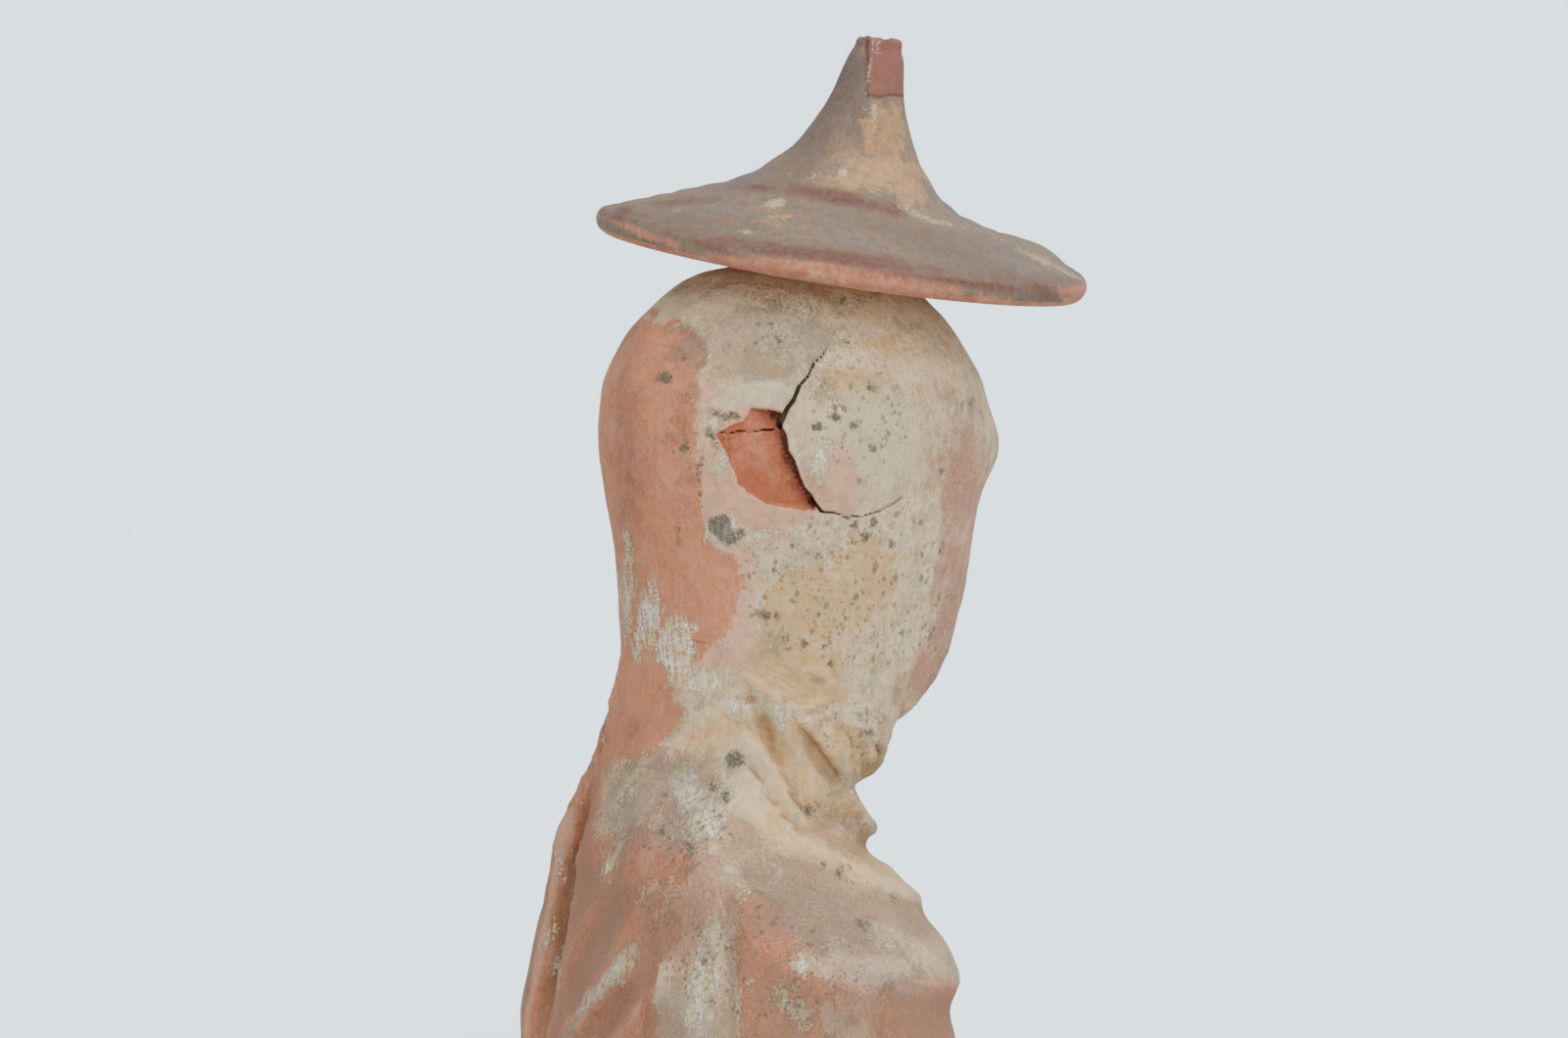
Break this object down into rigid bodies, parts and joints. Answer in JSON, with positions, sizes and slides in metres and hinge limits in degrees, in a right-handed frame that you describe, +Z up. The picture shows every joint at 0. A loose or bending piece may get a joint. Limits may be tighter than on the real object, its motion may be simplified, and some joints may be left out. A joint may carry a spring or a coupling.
{
  "type": "terracotta bust in a sun hat",
  "caption": "Small fired-clay bust of a mantled woman whose head turns to her left, in a pointed wide-brimmed sun hat, cut flat below.",
  "frame": {"origin": "middle of the whole part's box, on its flat underside", "axes": "+Z up, the chest faces -Y and her left hand side is +X; the head is turned 30 degrees to her left"},
  "size_m": [0.06, 0.0424, 0.0845],
  "materials": {
    "figure_clay": "matte",
    "hat_clay": "matte"
  },
  "bodies": {
    "root": {"figure": "figure_clay", "sun_hat": "hat_clay"}
  },
  "joints": []
}
